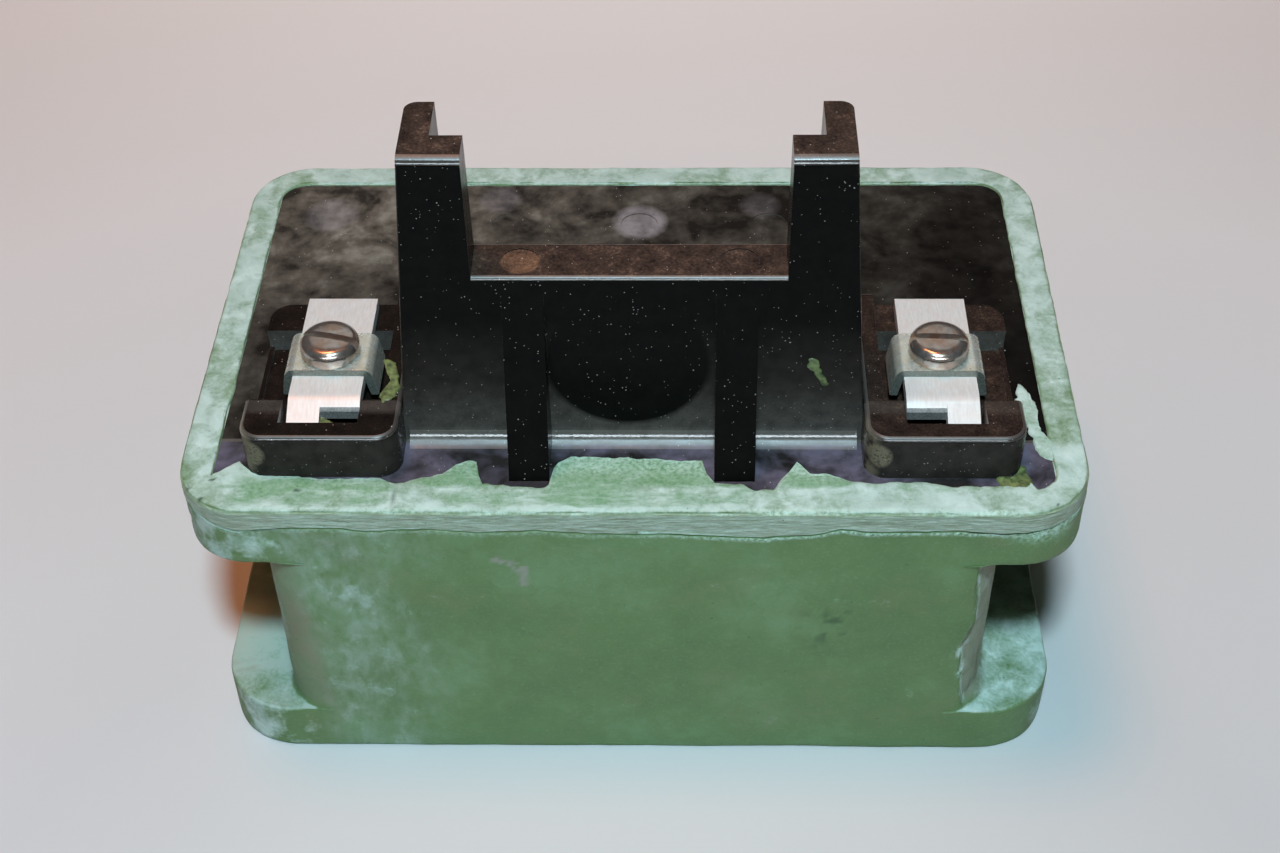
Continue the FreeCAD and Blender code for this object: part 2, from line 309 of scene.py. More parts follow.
class Shader:
    """A material, with short names for the nodes that it's made of."""

    def __init__(self, name, constants):
        self.material = bpy.data.materials.new(name)
        self.material.use_nodes = True
        self.tree = self.material.node_tree
        self.surface = self.tree.nodes["Principled BSDF"]
        self.place = self.tree.nodes.new("ShaderNodeTexCoord").outputs["Object"]
        self.geometry = self.tree.nodes.new("ShaderNodeNewGeometry")
        for key, value in constants.items():
            self.surface.inputs[key].default_value = value

    def node(self, kind, inputs=(), **settings):
        made = self.tree.nodes.new("ShaderNode" + kind)
        for key, value in settings.items():
            setattr(made, key, value)
        for key, value in dict(inputs).items():
            self.feed(made.inputs[key], value)
        return made

    def feed(self, socket, value):
        if isinstance(value, bpy.types.NodeSocket):
            self.tree.links.new(value, socket)
        elif value is not None:
            socket.default_value = value

    def mapped(self, size, stretch, shift):
        scale = [1 / (size * MM * s) for s in stretch]
        return self.node("Mapping", {"Vector": self.place, "Scale": scale, "Location": shift}).outputs[0]

    def noise(self, size, detail=3, rough=0.55, stretch=(1, 1, 1), seed=0, warp=0):
        """Noise from 0 to 1 with features about size millimetres across."""
        vector = self.mapped(size, stretch, (seed * 3.7, seed * 1.3, seed * 5.1))
        return self.node("TexNoise", {"Vector": vector, "Scale": 1, "Detail": detail, "Roughness": rough,
                                      "Distortion": warp}).outputs[0]

    def specks(self, pitch, radius, share, seed=0):
        """1 inside small round specks: one in each cell of the pitch, in that share of the cells."""
        vector = self.mapped(pitch, (1, 1, 1), (seed * 2.9, seed * 4.3, seed * 1.9))
        cells = self.node("TexVoronoi", {"Vector": vector, "Scale": 1})
        size = radius / pitch
        reach = self.levels(self.noise(pitch * 3, seed=seed), 0.35, 0.7, size * 0.4, size * 1.25)
        near = self.math("LESS_THAN", cells.outputs["Distance"], reach)
        picked = self.node("SeparateColor", {0: cells.outputs["Color"]}).outputs[0]
        return self.times(near, self.math("LESS_THAN", picked, share))

    def math(self, operation, first, second=0):
        return self.node("Math", {0: first, 1: second}, operation=operation).outputs[0]

    def levels(self, value, low, high, to_low=0, to_high=1):
        """Stretch value so that low becomes to_low and high becomes to_high, clamped."""
        return self.node("MapRange", {0: value, 1: low, 2: high, 3: to_low, 4: to_high},
                         clamp=True).outputs[0]

    def ramp(self, value, *stops):
        made = self.node("ValToRGB", {0: value})
        elements = made.color_ramp.elements
        while len(elements) < len(stops):
            elements.new(0.5)
        for element, (position, colour) in zip(elements, stops):
            element.position = position
            element.color = srgb(*colour)
        return made.outputs[0]

    def mix(self, under, over, *amounts):
        """Blend from under to over, which are sockets or colours, by the product of the amounts."""
        under, over = (srgb(*c) if isinstance(c, tuple) else c for c in (under, over))
        inputs = {0: self.times(*amounts), 6: under, 7: over}
        return self.node("Mix", inputs, data_type="RGBA").outputs[2]

    def mask(self, name):
        return self.node("Attribute", attribute_name=name).outputs["Fac"]

    def facing(self, axis):
        """The part of the surface normal along an axis, -1 to 1."""
        return self.node("SeparateXYZ", {0: self.geometry.outputs["Normal"]}).outputs[axis]

    def height(self, axis):
        """Where a point lies along an axis, in millimetres."""
        metres = self.node("SeparateXYZ", {0: self.place}).outputs[axis]
        return self.math("MULTIPLY", metres, 1 / MM)

    def near(self, place, radius, soft):
        """1 within radius of a place, falling to 0 over the soft distance outside it."""
        away = self.node("VectorMath", {0: self.place, 1: [p * MM for p in place]}, operation="DISTANCE")
        return self.levels(away.outputs["Value"], (radius + soft) * MM, radius * MM)

    def times(self, *factors):
        product = factors[0]
        for factor in factors[1:]:
            product = self.math("MULTIPLY", product, factor)
        return product

    def plus(self, first, second):
        return self.math("ADD", first, second)

    def inverse(self, value):
        return self.math("SUBTRACT", 1, value)

    def bump(self, depth, value, under=None):
        """Add relief whose full range is depth millimetres."""
        return self.node("Bump", {"Height": value, "Distance": depth * MM, "Strength": 1,
                                  "Normal": under}).outputs[0]

    def finish(self, colour, roughness, normal=None):
        for name, value in {"Base Color": colour, "Roughness": roughness, "Normal": normal}.items():
            self.feed(self.surface.inputs[name], value)
        return self.material


# ---- materials ----

def epoxy_material():
    """Cast green epoxy: chalky where light has bleached it, striated on the poured band, scuffed."""
    s = Shader("green_epoxy", {"Specular IOR Level": 0.35})
    broad = s.noise(14, 4, seed=1)
    middle = s.noise(3.2, 5, 0.6, seed=2, warp=0.4)
    fine = s.noise(0.55, 4, 0.65, seed=3)
    grain = s.noise(0.16, 2, seed=4)
    green = s.ramp(s.plus(s.times(broad, 0.65), s.times(middle, 0.35)),
                   (0.3, (94, 123, 76)), (0.5, (105, 134, 84)), (0.72, (122, 154, 110)))
    green = s.mix(green, (136, 166, 130), s.levels(fine, 0.52, 0.75, 0, 0.35))
    chalk = s.ramp(middle, (0.3, (166, 189, 176)), (0.52, (187, 208, 198)),
                   (0.72, (209, 226, 218)))
    torn = s.plus(s.mask("chalk"), s.times(s.math("SUBTRACT", middle, 0.5), 0.9))
    torn = s.plus(torn, s.times(s.math("SUBTRACT", fine, 0.5), 0.5))
    colour = s.mix(green, chalk, s.levels(torn, 0.28, 0.78))
    streaks = s.noise(2.4, 5, 0.62, stretch=(0.8, 1, 1.5), seed=8, warp=0.3)
    colour = s.mix(colour, (150, 170, 150), s.mask("film"), s.levels(streaks, 0.34, 0.66), 0.85)
    drawn = s.noise(1.5, 5, 0.65, stretch=(3, 1, 1), seed=9, warp=0.4)
    wet = s.plus(s.mask("wet"), s.times(s.math("SUBTRACT", drawn, 0.5), 2))
    clean = s.ramp(fine, (0.35, (98, 144, 98)), (0.65, (134, 170, 134)))
    colour = s.mix(colour, clean, s.levels(wet, 0.25, 0.85, 0, 0.85))
    lines = s.noise(0.38, 4, 0.7, stretch=(6, 6, 0.5), seed=6, warp=0.3)
    band_colour = s.ramp(lines, (0.36, (140, 150, 130)), (0.5, (172, 184, 168)),
                         (0.66, (208, 220, 208)))
    colour = s.mix(colour, band_colour, s.mask("band"), 0.8)
    # The lip mask holds pale lines along the crack and the torn skin, and painted highlights along the
    # collar's front top edge and the resin's edge at the board.
    colour = s.mix(colour, (196, 224, 208), s.mask("lip"), s.levels(fine, 0.35, 0.6))
    colour = s.mix(colour, (128, 124, 92), s.mask("grime"), s.levels(middle, 0.3, 0.65))
    colour = s.mix(colour, (154, 152, 142), s.mask("scuff"), 0.85)
    # The dark mask holds stains, chips and the hairline crack, and painted shade on the back ledges under
    # the upper flange.
    colour = s.mix(colour, (38, 66, 46), s.mask("dark"), 0.9)
    colour = s.mix(colour, (62, 88, 62), s.specks(1.7, 0.16, 0.3, seed=2), 0.45)
    rough = s.levels(s.plus(s.mask("chalk"), s.times(fine, 0.4)), 0.1, 1, 0.46, 0.85)
    return s.finish(colour, rough, s.bump(0.03, grain, s.bump(0.1, fine)))


def phenolic_material(name, edge_wear_and_highlight=0, gloss=False):
    """Black moulded phenolic: dusty on top, with haze and a painted reflection near the foot of its
    walls, pale edges that are partly wear and partly a painted highlight, glossy where it curves.
    """
    s = Shader(name, {"Specular IOR Level": 0.8 if gloss else 0.05})
    broad = s.noise(9, 4, seed=11, warp=0.6)
    middle = s.noise(2.2, 4, seed=12)
    fine = s.noise(0.35, 3, seed=13)
    x, y, z = (s.height(axis) for axis in range(3))
    colour = s.ramp(middle, (0.3, (9, 8, 7)), (0.7, (16, 14, 12)))
    up = s.levels(s.facing(2), 0.55, 0.95)
    low = s.math("LESS_THAN", z, plate_top + 0.4)
    in_cove = s.times(s.levels(y, -26.2, -25.2), s.math("LESS_THAN", y, wall_front + 0.05))
    upright = s.math("MAXIMUM", s.levels(s.facing(2), 0.2, 0.12), in_cove)
    # Haze and painted reflection: upright walls grow paler towards their foot, and a dark disc on the
    # middle wall is a painted reflection of the camera; the ribs are left out.
    haze_and_reflection = s.times(upright, s.levels(z, 70, 54, 0, 0.9), s.levels(middle, 0.3, 0.6, 0.55, 1),
                   s.inverse(s.near((-0.5, wall_front, 63), 10.2, 0.9)))
    on_rib = s.times(s.math("LESS_THAN", s.math("ABSOLUTE", x), 20),
                     s.math("LESS_THAN", y, wall_front - 0.15), s.math("GREATER_THAN", z, cove_top))
    haze_and_reflection = s.times(haze_and_reflection, s.inverse(on_rib))
    colour = s.mix(colour, (62, 55, 51), haze_and_reflection)
    # Painted reflection: paler still, low on the walls and in the hollow at their foot.
    low_haze_and_reflection = s.times(haze_and_reflection, s.levels(z, 60, 51, 0, 0.8), s.levels(y, -27.2, -26.8),
                       s.levels(fine, 0.3, 0.6, 0.7, 1))
    colour = s.mix(colour, (104, 98, 92), low_haze_and_reflection)
    rubbed = s.times(s.levels(s.facing(0), -0.3, -0.7), s.levels(y, -25, -27), s.levels(z, 62, 56),
                     s.levels(middle, 0.35, 0.55))
    corner = s.plus(s.near((-49.9, -29.6, 53.2), 2, 0.6), s.near((31.6, -30.6, 53), 1.7, 0.6))
    rubbed = s.math("MAXIMUM", rubbed, s.times(corner, s.levels(fine, 0.3, 0.5)))
    colour = s.mix(colour, (132, 120, 100), rubbed, 0.8)
    dust = s.ramp(s.plus(s.times(middle, 0.5), s.times(fine, 0.5)),
                  (0.35, (36, 27, 24)), (0.55, (72, 55, 47)), (0.72, (122, 96, 80)))
    on_tops = s.times(up, s.inverse(low), s.levels(x, -31, -25, 0.3, 0.95),
                      s.levels(z, 58, 60, 0.55, 1))
    colour = s.mix(colour, dust, on_tops)
    smoke = s.ramp(s.plus(s.times(broad, 0.7), s.times(middle, 0.3)),
                   (0.4, (50, 45, 40)), (0.54, (108, 100, 90)), (0.66, (152, 146, 134)))
    behind = s.times(up, low, s.levels(y, -10, 26, 0.25, 1), s.levels(x, -46, 48, 1, 0.1))
    colour = s.mix(colour, smoke, behind)
    for mark_x, mark_y, size, strength in ((0.1, 23.7, 3.2, 0.85), (-47, 25.5, 3.2, 0.4),
                                           (-21.5, 29.3, 2.4, 0.3), (18.4, 27.9, 2.2, 0.2)):
        mark = s.near((mark_x, mark_y, plate_top), size, 1.3)
        colour = s.mix(colour, (150, 142, 144), mark, up, s.levels(middle, 0.3, 0.6, 0.45, 1), strength)
    # Painted highlight: a warm orange-brown sheen over the left round mark on the bridge top.
    painted_sheen = s.times(s.near((-13.7, -20.2, bridge_top), 2.3, 0.3), s.levels(fine, 0.3, 0.6, 0.4, 1))
    colour = s.mix(colour, (158, 114, 86), painted_sheen, up, s.levels(middle, 0.35, 0.65, 0.1, 0.6))
    # Painted reflection: a glossy film on the plate's front strip, coloured with a mottled lavender-grey
    # reflection of the front window light.
    front = s.times(s.levels(s.facing(2), 0.6, 0.9), low, s.math("LESS_THAN", y, wall_front - 0.5))
    film = s.ramp(broad, (0.4, (42, 40, 40)), (0.62, (106, 100, 116)))
    colour = s.mix(colour, film, front, s.levels(middle, 0.3, 0.6, 0.4, 1))
    speck = s.plus(s.times(s.specks(0.55, 0.07, 0.45, seed=5), s.inverse(up)),
                   s.times(s.specks(0.7, 0.08, 0.3, seed=6), up))
    colour = s.mix(colour, (190, 180, 172), speck, 0.85)
    # Pale rounded edges: partly wear, partly a painted highlight.
    if edge_wear_and_highlight:
        wear_and_highlight = s.levels(s.noise(1.6, 3, seed=15), 0.38, 0.62, 0.15, edge_wear_and_highlight)
        colour = s.mix(colour, (156, 146, 138), wear_and_highlight)
    rough = s.levels(middle, 0.3, 0.7, 0.08, 0.16)
    if gloss:
        rough = s.plus(rough, s.levels(s.facing(2), 0.62, 0.78, 0, 0.35))
    else:
        rough = s.plus(rough, s.levels(up, 0, 1, 0.08, 0.42))
    relief = s.bump(0.02, s.noise(1.1, 3, seed=14))
    return s.finish(colour, rough, s.bump(0.012, fine, relief))


def metal_material(name, dark, light, roughness, grain_stretch=(1, 1, 1), tint=None, tint_share=0,
                   grime=None, grime_share=0, grain=0.25, metallic=1):
    """Metal with a fine directional grain, patches of a second tint and a little grime."""
    s = Shader(name, {"Metallic": metallic})
    lines = s.noise(grain, 3, 0.6, stretch=grain_stretch, seed=21)
    patches = s.noise(1.6, 4, seed=22, warp=0.5)
    colour = s.ramp(lines, (0.3, dark), (0.7, light))
    if tint is not None:
        colour = s.mix(colour, tint, s.levels(patches, 0.62 - tint_share * 0.4, 0.75, 0, tint_share))
    if grime is not None:
        dirt = s.levels(s.noise(0.7, 4, seed=23), 0.7 - grime_share * 0.4, 0.8, 0, grime_share)
        colour = s.mix(colour, grime, dirt)
    rough = s.levels(s.plus(s.times(lines, 0.5), s.times(patches, 0.5)),
                     0.3, 0.7, roughness * 0.8, roughness * 1.25)
    return s.finish(colour, rough, s.bump(0.012, lines))


def plain_material(name, dark, light, size, roughness, relief=0.03, stretch=(1, 1, 1), metallic=0):
    """Two mottled colours with some relief, for the pieces that are mostly hidden."""
    s = Shader(name, {"Metallic": metallic})
    spots = s.noise(size, 4, 0.6, stretch=stretch, seed=31)
    colour = s.ramp(spots, (0.32, dark), (0.68, light))
    rough = s.levels(spots, 0.3, 0.7, roughness * 0.85, min(1, roughness * 1.2))
    return s.finish(colour, rough, s.bump(relief, spots))


epoxy = epoxy_material()
phenolic = phenolic_material("black_phenolic")
phenolic_edge = phenolic_material("black_phenolic_edge", edge_wear_and_highlight=0.85, gloss=True)
phenolic_curve = phenolic_material("black_phenolic_curve", edge_wear_and_highlight=0.15, gloss=True)
strip_metal = metal_material("strip_metal", (216, 212, 208), (232, 229, 226), 0.42,
                             grain_stretch=(1, 7, 7), tint=(222, 206, 196), tint_share=0.5,
                             metallic=0.2)
# A darker copy of the strip metal for the sheared edges and the nose: partly their own duller colour,
# partly painted shade.
strip_cut_and_shade = metal_material("strip_cut_edge", (128, 126, 124), (178, 174, 170), 0.5,
                           grime=(70, 66, 62), grime_share=0.5, metallic=0.4)
zinc = metal_material("zinc_clamp", (204, 206, 198), (232, 234, 224), 0.27,
                      tint=(214, 202, 150), tint_share=0.5, grime=(132, 126, 112), grime_share=0.3,
                      grain=1.1, metallic=0.6)
# A darker copy of the zinc for the clamp's cut ends: partly their own colour, partly painted shade.
zinc_cut_and_shade = metal_material("zinc_clamp_edge", (104, 106, 100), (146, 148, 138), 0.4, metallic=0.5)
screw_zinc = metal_material("zinc_screw", (164, 160, 156), (206, 204, 200), 0.22,
                            tint=(186, 142, 108), tint_share=0.75, grime=(112, 92, 82),
                            grime_share=0.35, grain=0.9, metallic=0.85)
brass = metal_material("insert_brass", (160, 124, 60), (206, 172, 96), 0.35)
solder = metal_material("solder", (120, 122, 124), (168, 170, 172), 0.4, grain=0.6,
                        grime=(92, 84, 60), grime_share=0.5)
fibre = plain_material("tube_fibre", (58, 46, 34), (92, 74, 54), 0.8, 0.6, stretch=(3, 3, 0.5))
washer_board = plain_material("insulating_board", (150, 132, 98), (186, 168, 130), 1.2, 0.8)
copper = plain_material("magnet_wire", (108, 42, 18), (176, 84, 40), 0.6, 0.25,
                        stretch=(8, 8, 0.7), metallic=0.8)
paper = plain_material("layer_paper", (176, 156, 120), (206, 190, 156), 1, 0.8)
tape = plain_material("glass_tape", (196, 192, 176), (224, 220, 206), 0.5, 0.7,
                      stretch=(1, 1, 4))
wire_metal = metal_material("lead_wire", (150, 84, 52), (196, 128, 92), 0.35)
sleeve = plain_material("lead_sleeve", (196, 190, 172), (226, 222, 208), 0.35, 0.6)
resin = plain_material("spilt_resin", (56, 68, 40), (128, 140, 86), 0.8, 0.4, relief=0.08)


# ---- the casting ----

def casting_rings():
    """Closed profile: under the base, up the outside to the joint, then down the inside."""
    base = flange(lower_corner)
    top = flange(upper_corner)
    rings = [ring(tube, 0)]
    rings += [blend_ring(tube, flange(lower_corner, 0.5), t, 0) for t in (0.3, 0.6, 0.85, 1)]
    rings += [ring(flange(lower_corner, inset), z) for inset, z in ((0.2, 0.1), (0, 0.5))]
    rings += [ring(base, z) for z in np.linspace(1, lower_top - 0.7, 12)]
    rings += [ring(ledge_edge(lower_corner, inset), lower_top - drop)
              for inset, drop in ((0.05, 0.4), (0.22, 0.15), (0.5, 0))]
    ledge = ledge_edge(lower_corner, 0.5)
    rings += [blend_ring(ledge, waist, t, lower_top) for t in (0.2, 0.4, 0.6, 0.75)]
    rings += [blend_ring(ledge, waist, t, lower_top + rise)
              for t, rise in ((0.87, 0.12), (0.94, 0.4), (0.985, 0.9))]
    rings += [ring(waist, z) for z in np.linspace(lower_top + 1.6, upper_bottom - 1.6, 42)]
    under = ledge_edge(upper_corner, 0.6)
    rings += [blend_ring(waist, under, t, upper_bottom - drop)
              for t, drop in ((0.015, 0.9), (0.06, 0.4), (0.13, 0.12))]
    rings += [blend_ring(waist, under, t, upper_bottom) for t in (0.3, 0.55, 0.8, 1)]
    rings += [ring(ledge_edge(upper_corner, inset), upper_bottom + rise)
              for inset, rise in ((0.28, 0.12), (0.06, 0.45))]
    crack = crack_height(top)
    start = upper_bottom + 0.9
    for t in np.linspace(0, 1, 22) ** 0.8:
        rings.append(ring(top, start + (crack - 0.1 - start) * t))
    rings += [ring(flange(upper_corner, inset), crack - rise)
              for inset, rise in ((0.12, 0.03), (0.5, 0), (1.6, 0.05))]
    seat = board_seat()
    rings += [ring(seat, parting - 0.3), ring(seat, board_low[2])]
    rings += [ring(tube, board_low[2]), ring(tube, winding_top), ring(winding, winding_top),
              ring(winding, winding_bottom), ring(tube, winding_bottom)]
    return rings


def front_skin(points):
    """1 on the front face inside the line where its skin has torn away from the right corner."""
    edge = np.interp(points[:, 2], [9, 18, 22, 27, 39], [46.8, 45.6, 45.3, 46.6, 46])
    edge += 0.5 * clouds(points, 4, 4, seed=9, stretch=(1, 1, 1.4))
    return smooth(edge + 0.25, edge - 0.25, points[:, 0])


def in_waist(z):
    return smooth(lower_top, lower_top + 2, z) * smooth(upper_bottom, upper_bottom - 2, z)


def relief_casting(obj):
    """Sink the skin by uneven amounts, so that it stays inside its box, and tear its edges."""
    points, facing = places_and_normals(obj)
    x, y, z = points.T
    outside = smooth(5, 0, np.minimum(half_x - np.abs(x), half_y - np.abs(y)))
    wall = (np.abs(x) > board_half + 1) | (np.abs(y) > half_y - 3)
    wall |= (np.hypot(facing[:, 0], facing[:, 1]) > 0.7) & (np.abs(x) > waist_half - 13)
    sink = 0.16 + 0.16 * clouds(points, 16, 3, seed=1) + 0.05 * clouds(points, 3.5, 4, seed=2)
    low_part = in_waist(z)
    bare = (1 - front_skin(points)) * low_part * (y < -half_y + 8)
    sink += bare * (0.85 + 0.3 * clouds(points, 2.5, 3, seed=11))
    chip = spot(points, (54, -half_y, 45.6), (4.5, 5, 1.6))
    chip += 0.5 * spot(points, (48, -half_y, 46), (4, 3, 0.8))
    sink += 0.5 * chip * (0.6 + 0.6 * clouds(points, 1.6, 4, seed=7))
    crack = np.interp(x, crack_x, crack_z)
    near = smooth(1.2, 0.2, crack - z) * (z > upper_bottom)
    sink += near * (0.1 * clouds(points, 0.9, 3, seed=8, stretch=(2.5, 1, 0.5)) - 0.05)
    flakes = smooth(-28, -36, x) * smooth(38, 42, z)
    sink += flakes * 0.14 * smooth(0, 0.35, clouds(points, 5, 4, seed=10))
    moved = points - facing * (np.maximum(sink, 0) * wall * np.maximum(outside, low_part))[:, None]
    moved[:, 2] = np.maximum(moved[:, 2], 0)
    set_coordinates(obj, moved)


def paint_casting(obj):
    points, facing = places_and_normals(obj)
    x, y, z = points.T
    front = smooth(0.4, 0.8, -facing[:, 1])
    up = smooth(0.4, 0.9, facing[:, 2])
    slow = clouds(points, 12, 4, seed=20)
    quick = clouds(points, 3, 4, seed=21, stretch=(1, 1, 1.4))
    bloom = smooth(-23, -37, x + 7 * slow) * front * (0.3 + 0.38 * quick)
    bloom *= smooth(-46.5, -42.5, x + 1.5 * quick + 0.06 * (z - 24)) * 2.2
    patch = 0.9 * streak(points, (-47, -half_y, 45), (-37.5, -half_y, 31), 3.6)
    patch += 0.55 * spot(points, (-33, -half_y, 20), (8, 9, 7))
    patch += 0.4 * spot(points, (-40, -half_y, 14), (5, 9, 6))
    film = np.maximum(bloom, 0) + patch * (0.9 + 0.6 * quick)
    chalk = 0.08 + 0.08 * slow + 0.25 * film * smooth(0.1, 0.5, quick)
    chalk += up * (np.where(x < 0, 0.66, 0.62) + 0.35 * slow) * smooth(45.2, 46.6, np.abs(x))
    sides = smooth(0.5, 0.9, np.abs(facing[:, 0])) + smooth(0.5, 0.9, facing[:, 1])
    chalk += sides * (0.22 + 0.25 * slow)
    left_end = smooth(-44, -54, x) * front * (1 - in_waist(z))
    chalk += left_end * (0.45 + 0.6 * quick)
    crack = np.interp(x, crack_x, crack_z)
    lip = smooth(0.75, 0.1, np.abs(crack - 0.25 - z) + 0.25 * clouds(points, 1.2, 3, seed=22)) * front
    right_end = spot(points, (53.5, -half_y + 1, 45.4), (5, 6, 1.7))
    lip = lip * (0.35 + 0.65 * smooth(-10, 20, x)) + right_end
    tear = front_skin(points)
    bare = (1 - tear) * smooth(lower_top, lower_top + 1.5, z) * smooth(39.2, 38, z)
    near_front = smooth(-half_y + 19, -half_y + 8, y + 3 * quick)
    bare *= (x > 0) * near_front
    left_bare = smooth(-42.8, -45, x + 0.06 * (z - 24)) * smooth(lower_top, lower_top + 2, z)
    left_bare *= smooth(39.5, 37.5, z) * near_front
    edge_flake = streak(points, (48, -half_y + 1.6, 27), (45.2, -half_y + 0.6, 21.5), 1.3)
    edge_flake += streak(points, (46.7, -half_y + 1, 19.8), (45.7, -half_y + 0.8, 16.9), 1.1)
    edge_flake += 2.6 * tear * (1 - tear) * (x > 44) * smooth(39.2, 38, z) * (y < -half_y + 4)
    edge_flake *= smooth(lower_top + 0.3, lower_top + 1.5, z)
    scuff = streak(points, (-18, -half_y, 40.7), (-14.2, -half_y, 38.4), 1.3)
    scuff += streak(points, (-14.2, -half_y, 38.4), (-14.7, -half_y, 35.8), 1)
    scuff = smooth(0.4, 0.8, scuff * (0.8 + clouds(points, 0.9, 3, seed=23)))
    scuff += bare * 0.7 + left_bare * 0.28
    grime = 0.25 * smooth(0.15, 0.5, slow) * front + 0.7 * left_bare * smooth(0, 0.4, slow + 0.3)
    ends = smooth(54, 58, np.abs(x)) * smooth(0.25, 0.6, clouds(points, 5, 4, seed=24))
    grime += 0.4 * up * (x < 0) + 0.6 * ends
    stain = spot(points, (26.5, -half_y, 27.5), (5, 4, 7))
    stain *= smooth(0, 0.5, clouds(points, 1.7, 4, seed=25))
    # Painted shade: the side ledges at the back, under the upper flange, take the dark colour.
    painted_recess_shade = smooth(-20, -15, y) * smooth(waist_half - 3, waist_half, np.abs(x)) * smooth(12, 9, z) * up
    set_masks(obj, chalk=chalk + edge_flake, film=film, lip=lip + edge_flake, grime=grime, scuff=scuff,
              dark=0.7 * stain * (y < 0) + 0.75 * painted_recess_shade)


casting = loft("cast_epoxy_body", casting_rings(), closed=True)
relief_casting(casting)
paint_casting(casting)
piece(casting, [epoxy], ["encapsulation_body"])


# ---- the poured collar ----

# Where the resin stops on top of the board's front edge, from left to right.
lap_x = [-55.4, -54.5, -52, -49.8, -44.1, -39.6, -32.8, -30.8, -29.2, -26.9, -24.9, -23.3, -21.4, -20.5,
         -19.8, -15.7, -11.7, -10.8, -10.2, -8, -3.9, 6.3, 9.3, 9.7, 10.9, 14.2, 15.6, 18.5, 19.6, 20.7,
         21.7, 23.3, 26, 28, 31, 37.3, 41.1, 48.5, 50.6, 51.8, 52.4, 53.4, 55, 55.3]
lap_y = [-31, -29.8, -27.8, -30.1, -30.6, -31.1, -30.9, -32, -31.6, -30.6, -30.2, -28.5, -27.5, -27.9,
         -31.8, -32.3, -32.6, -32.1, -28.3, -26.9, -26.9, -27.5, -27.4, -29.8, -31.7, -31.8, -32.9, -32.9,
         -30.8, -29.4, -27.7, -30, -30, -31.1, -31.6, -31.4, -32.2, -32.1, -30.2, -31.2, -32.7, -32.5,
         -31.1, -29.7]


def resin_edge():
    """The collar's inner edge on top: the board's outline, with the front moved to the lap line."""
    shape = board_seat()
    lap = np.interp(shape[:, 0], lap_x, lap_y) + 0.28 * clouds(ring(shape, 0), 1.3, 3, seed=31)
    shape[:, 1] = np.where(shape[:, 1] < 0, np.maximum(shape[:, 1], lap), shape[:, 1])
    wobble = 0.22 * clouds(ring(shape, 0), 5, 4, seed=32)
    shape[:, 0] += np.where(np.abs(shape[:, 0]) > board_half - 0.1, wobble, 0)
    shape[:, 1] += np.where(shape[:, 1] > board_high[1] - 0.1, wobble, 0)
    return shape


def collar_rings():
    outer, inner, seat = flange(upper_corner), resin_edge(), board_seat()
    crack = crack_height(outer)
    rings = [ring(seat, parting - 0.25)]
    rings += [ring(flange(upper_corner, inset), crack + rise)
              for inset, rise in ((1.6, 0), (0.6, 0.08), (0.15, 0.12))]
    shoulder = collar_top - 0.8
    for t in np.linspace(0, 1, 19):
        rings.append(ring(outer, crack + 0.2 + (shoulder - crack - 0.2) * t))
    rings += [ring(flange(upper_corner, inset), collar_top - drop)
              for inset, drop in ((0.05, 0.5), (0.2, 0.22), (0.42, 0.07), (0.8, 0))]
    shelf = flange(upper_corner, 0.8)
    rings += [blend_ring(shelf, inner, t, collar_top) for t in np.linspace(0.08, 0.86, 11)]
    rings += [blend_ring(shelf, inner, t, collar_top - drop)
              for t, drop in ((0.93, 0.02), (0.965, 0.08), (0.99, 0.2), (1, 0.36))]
    rings += [ring(inner, plate_top - 0.06), ring(seat, plate_top - 0.06)]
    return rings


def hairline(points, width):
    """1 along the crack that runs back across the collar's front."""
    crack_line = -31.1 - 0.5 * clouds(points, 2.5, 2, seed=46)
    return np.exp(-((points[:, 0] - crack_line) / width) ** 2)


def relief_collar(obj):
    points, facing = places_and_normals(obj)
    x, y, z = points.T
    outer = np.maximum(np.abs(x) - half_x, np.abs(y) - half_y) > 5 - upper_corner
    on_band = outer & (np.hypot(facing[:, 0], facing[:, 1]) > 0.6)
    on_top = (facing[:, 2] > 0.3) & (z > plate_top)
    lines = clouds(points, 0.55, 3, seed=41, stretch=(7, 7, 0.55))
    chips = smooth(0.1, 0.6, clouds(points, 1.6, 4, seed=42, stretch=(2.2, 2.2, 0.8)))
    sink = on_band * (0.16 + 0.07 * lines + 0.08 * chips + 0.1 * clouds(points, 14, 2, seed=43))
    uneven = 0.12 + 0.12 * clouds(points, 11, 3, seed=44) + 0.05 * clouds(points, 2.2, 3, seed=45)
    sink += on_top * np.maximum(uneven, 0)
    tongue = smooth(-32.5, -29, y) * smooth(board_half - 2, board_half - 6, np.abs(x)) * (y < -20)
    sink += on_top * tongue * 0.18
    moved = points - facing * np.maximum(sink, 0)[:, None]
    moved[:, 2] -= 0.22 * on_top * (y < -30) * hairline(points, 0.22)
    moved[:, 2] = np.where(on_top, np.maximum(moved[:, 2], plate_top + 0.02), moved[:, 2])
    set_coordinates(obj, moved)


